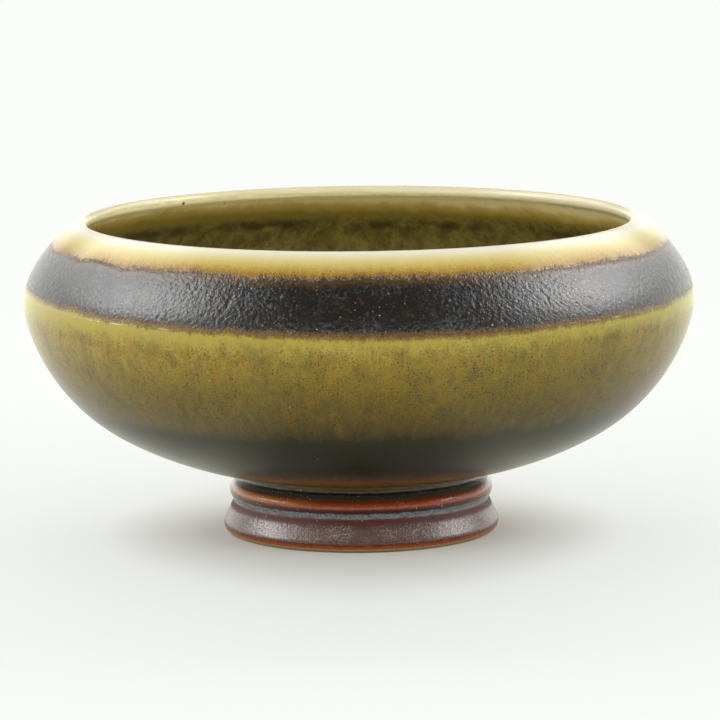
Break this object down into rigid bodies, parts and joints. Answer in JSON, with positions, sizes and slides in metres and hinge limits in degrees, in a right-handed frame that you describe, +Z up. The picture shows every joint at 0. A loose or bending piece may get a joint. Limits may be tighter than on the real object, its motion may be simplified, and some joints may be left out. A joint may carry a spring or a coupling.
{
  "type": "pottery bowl",
  "caption": "Round footed stoneware bowl with a drawn-in mouth, a rounded shoulder and a turned foot ring, glazed inside and out; it stands free on the foot ring.",
  "frame": {"origin": "centre of the foot ring's standing face", "axes": "+Z up along the bowl's axis of turning; X and Y are equal, because the bowl is round"},
  "size_m": [0.17, 0.17, 0.0803],
  "materials": {
    "clay": "bare fired stoneware",
    "slip": "bare fired slip",
    "liner": "satin olive glaze with fine streaks",
    "lip": "satin cream glaze that has run thin",
    "iron_band": "dark pitted iron glaze, broad satin sheen",
    "ochre": "satin ochre hare's fur glaze",
    "dark_olive": "satin dark olive glaze",
    "bead": "glossy rust-red glaze, grey in the hollows",
    "flare": "satin purple-grey glaze with fine crystals"
  },
  "bodies": {
    "root": {"thrown_bowl": "clay", "foot_ring": "clay", "joining_slip": "slip", "liner_glaze": "liner", "lip_glaze": "lip", "shoulder_glaze": "iron_band", "belly_glaze": "ochre", "underside_glaze": "dark_olive", "bead_glaze": "bead", "flare_glaze": "flare"}
  },
  "joints": []
}
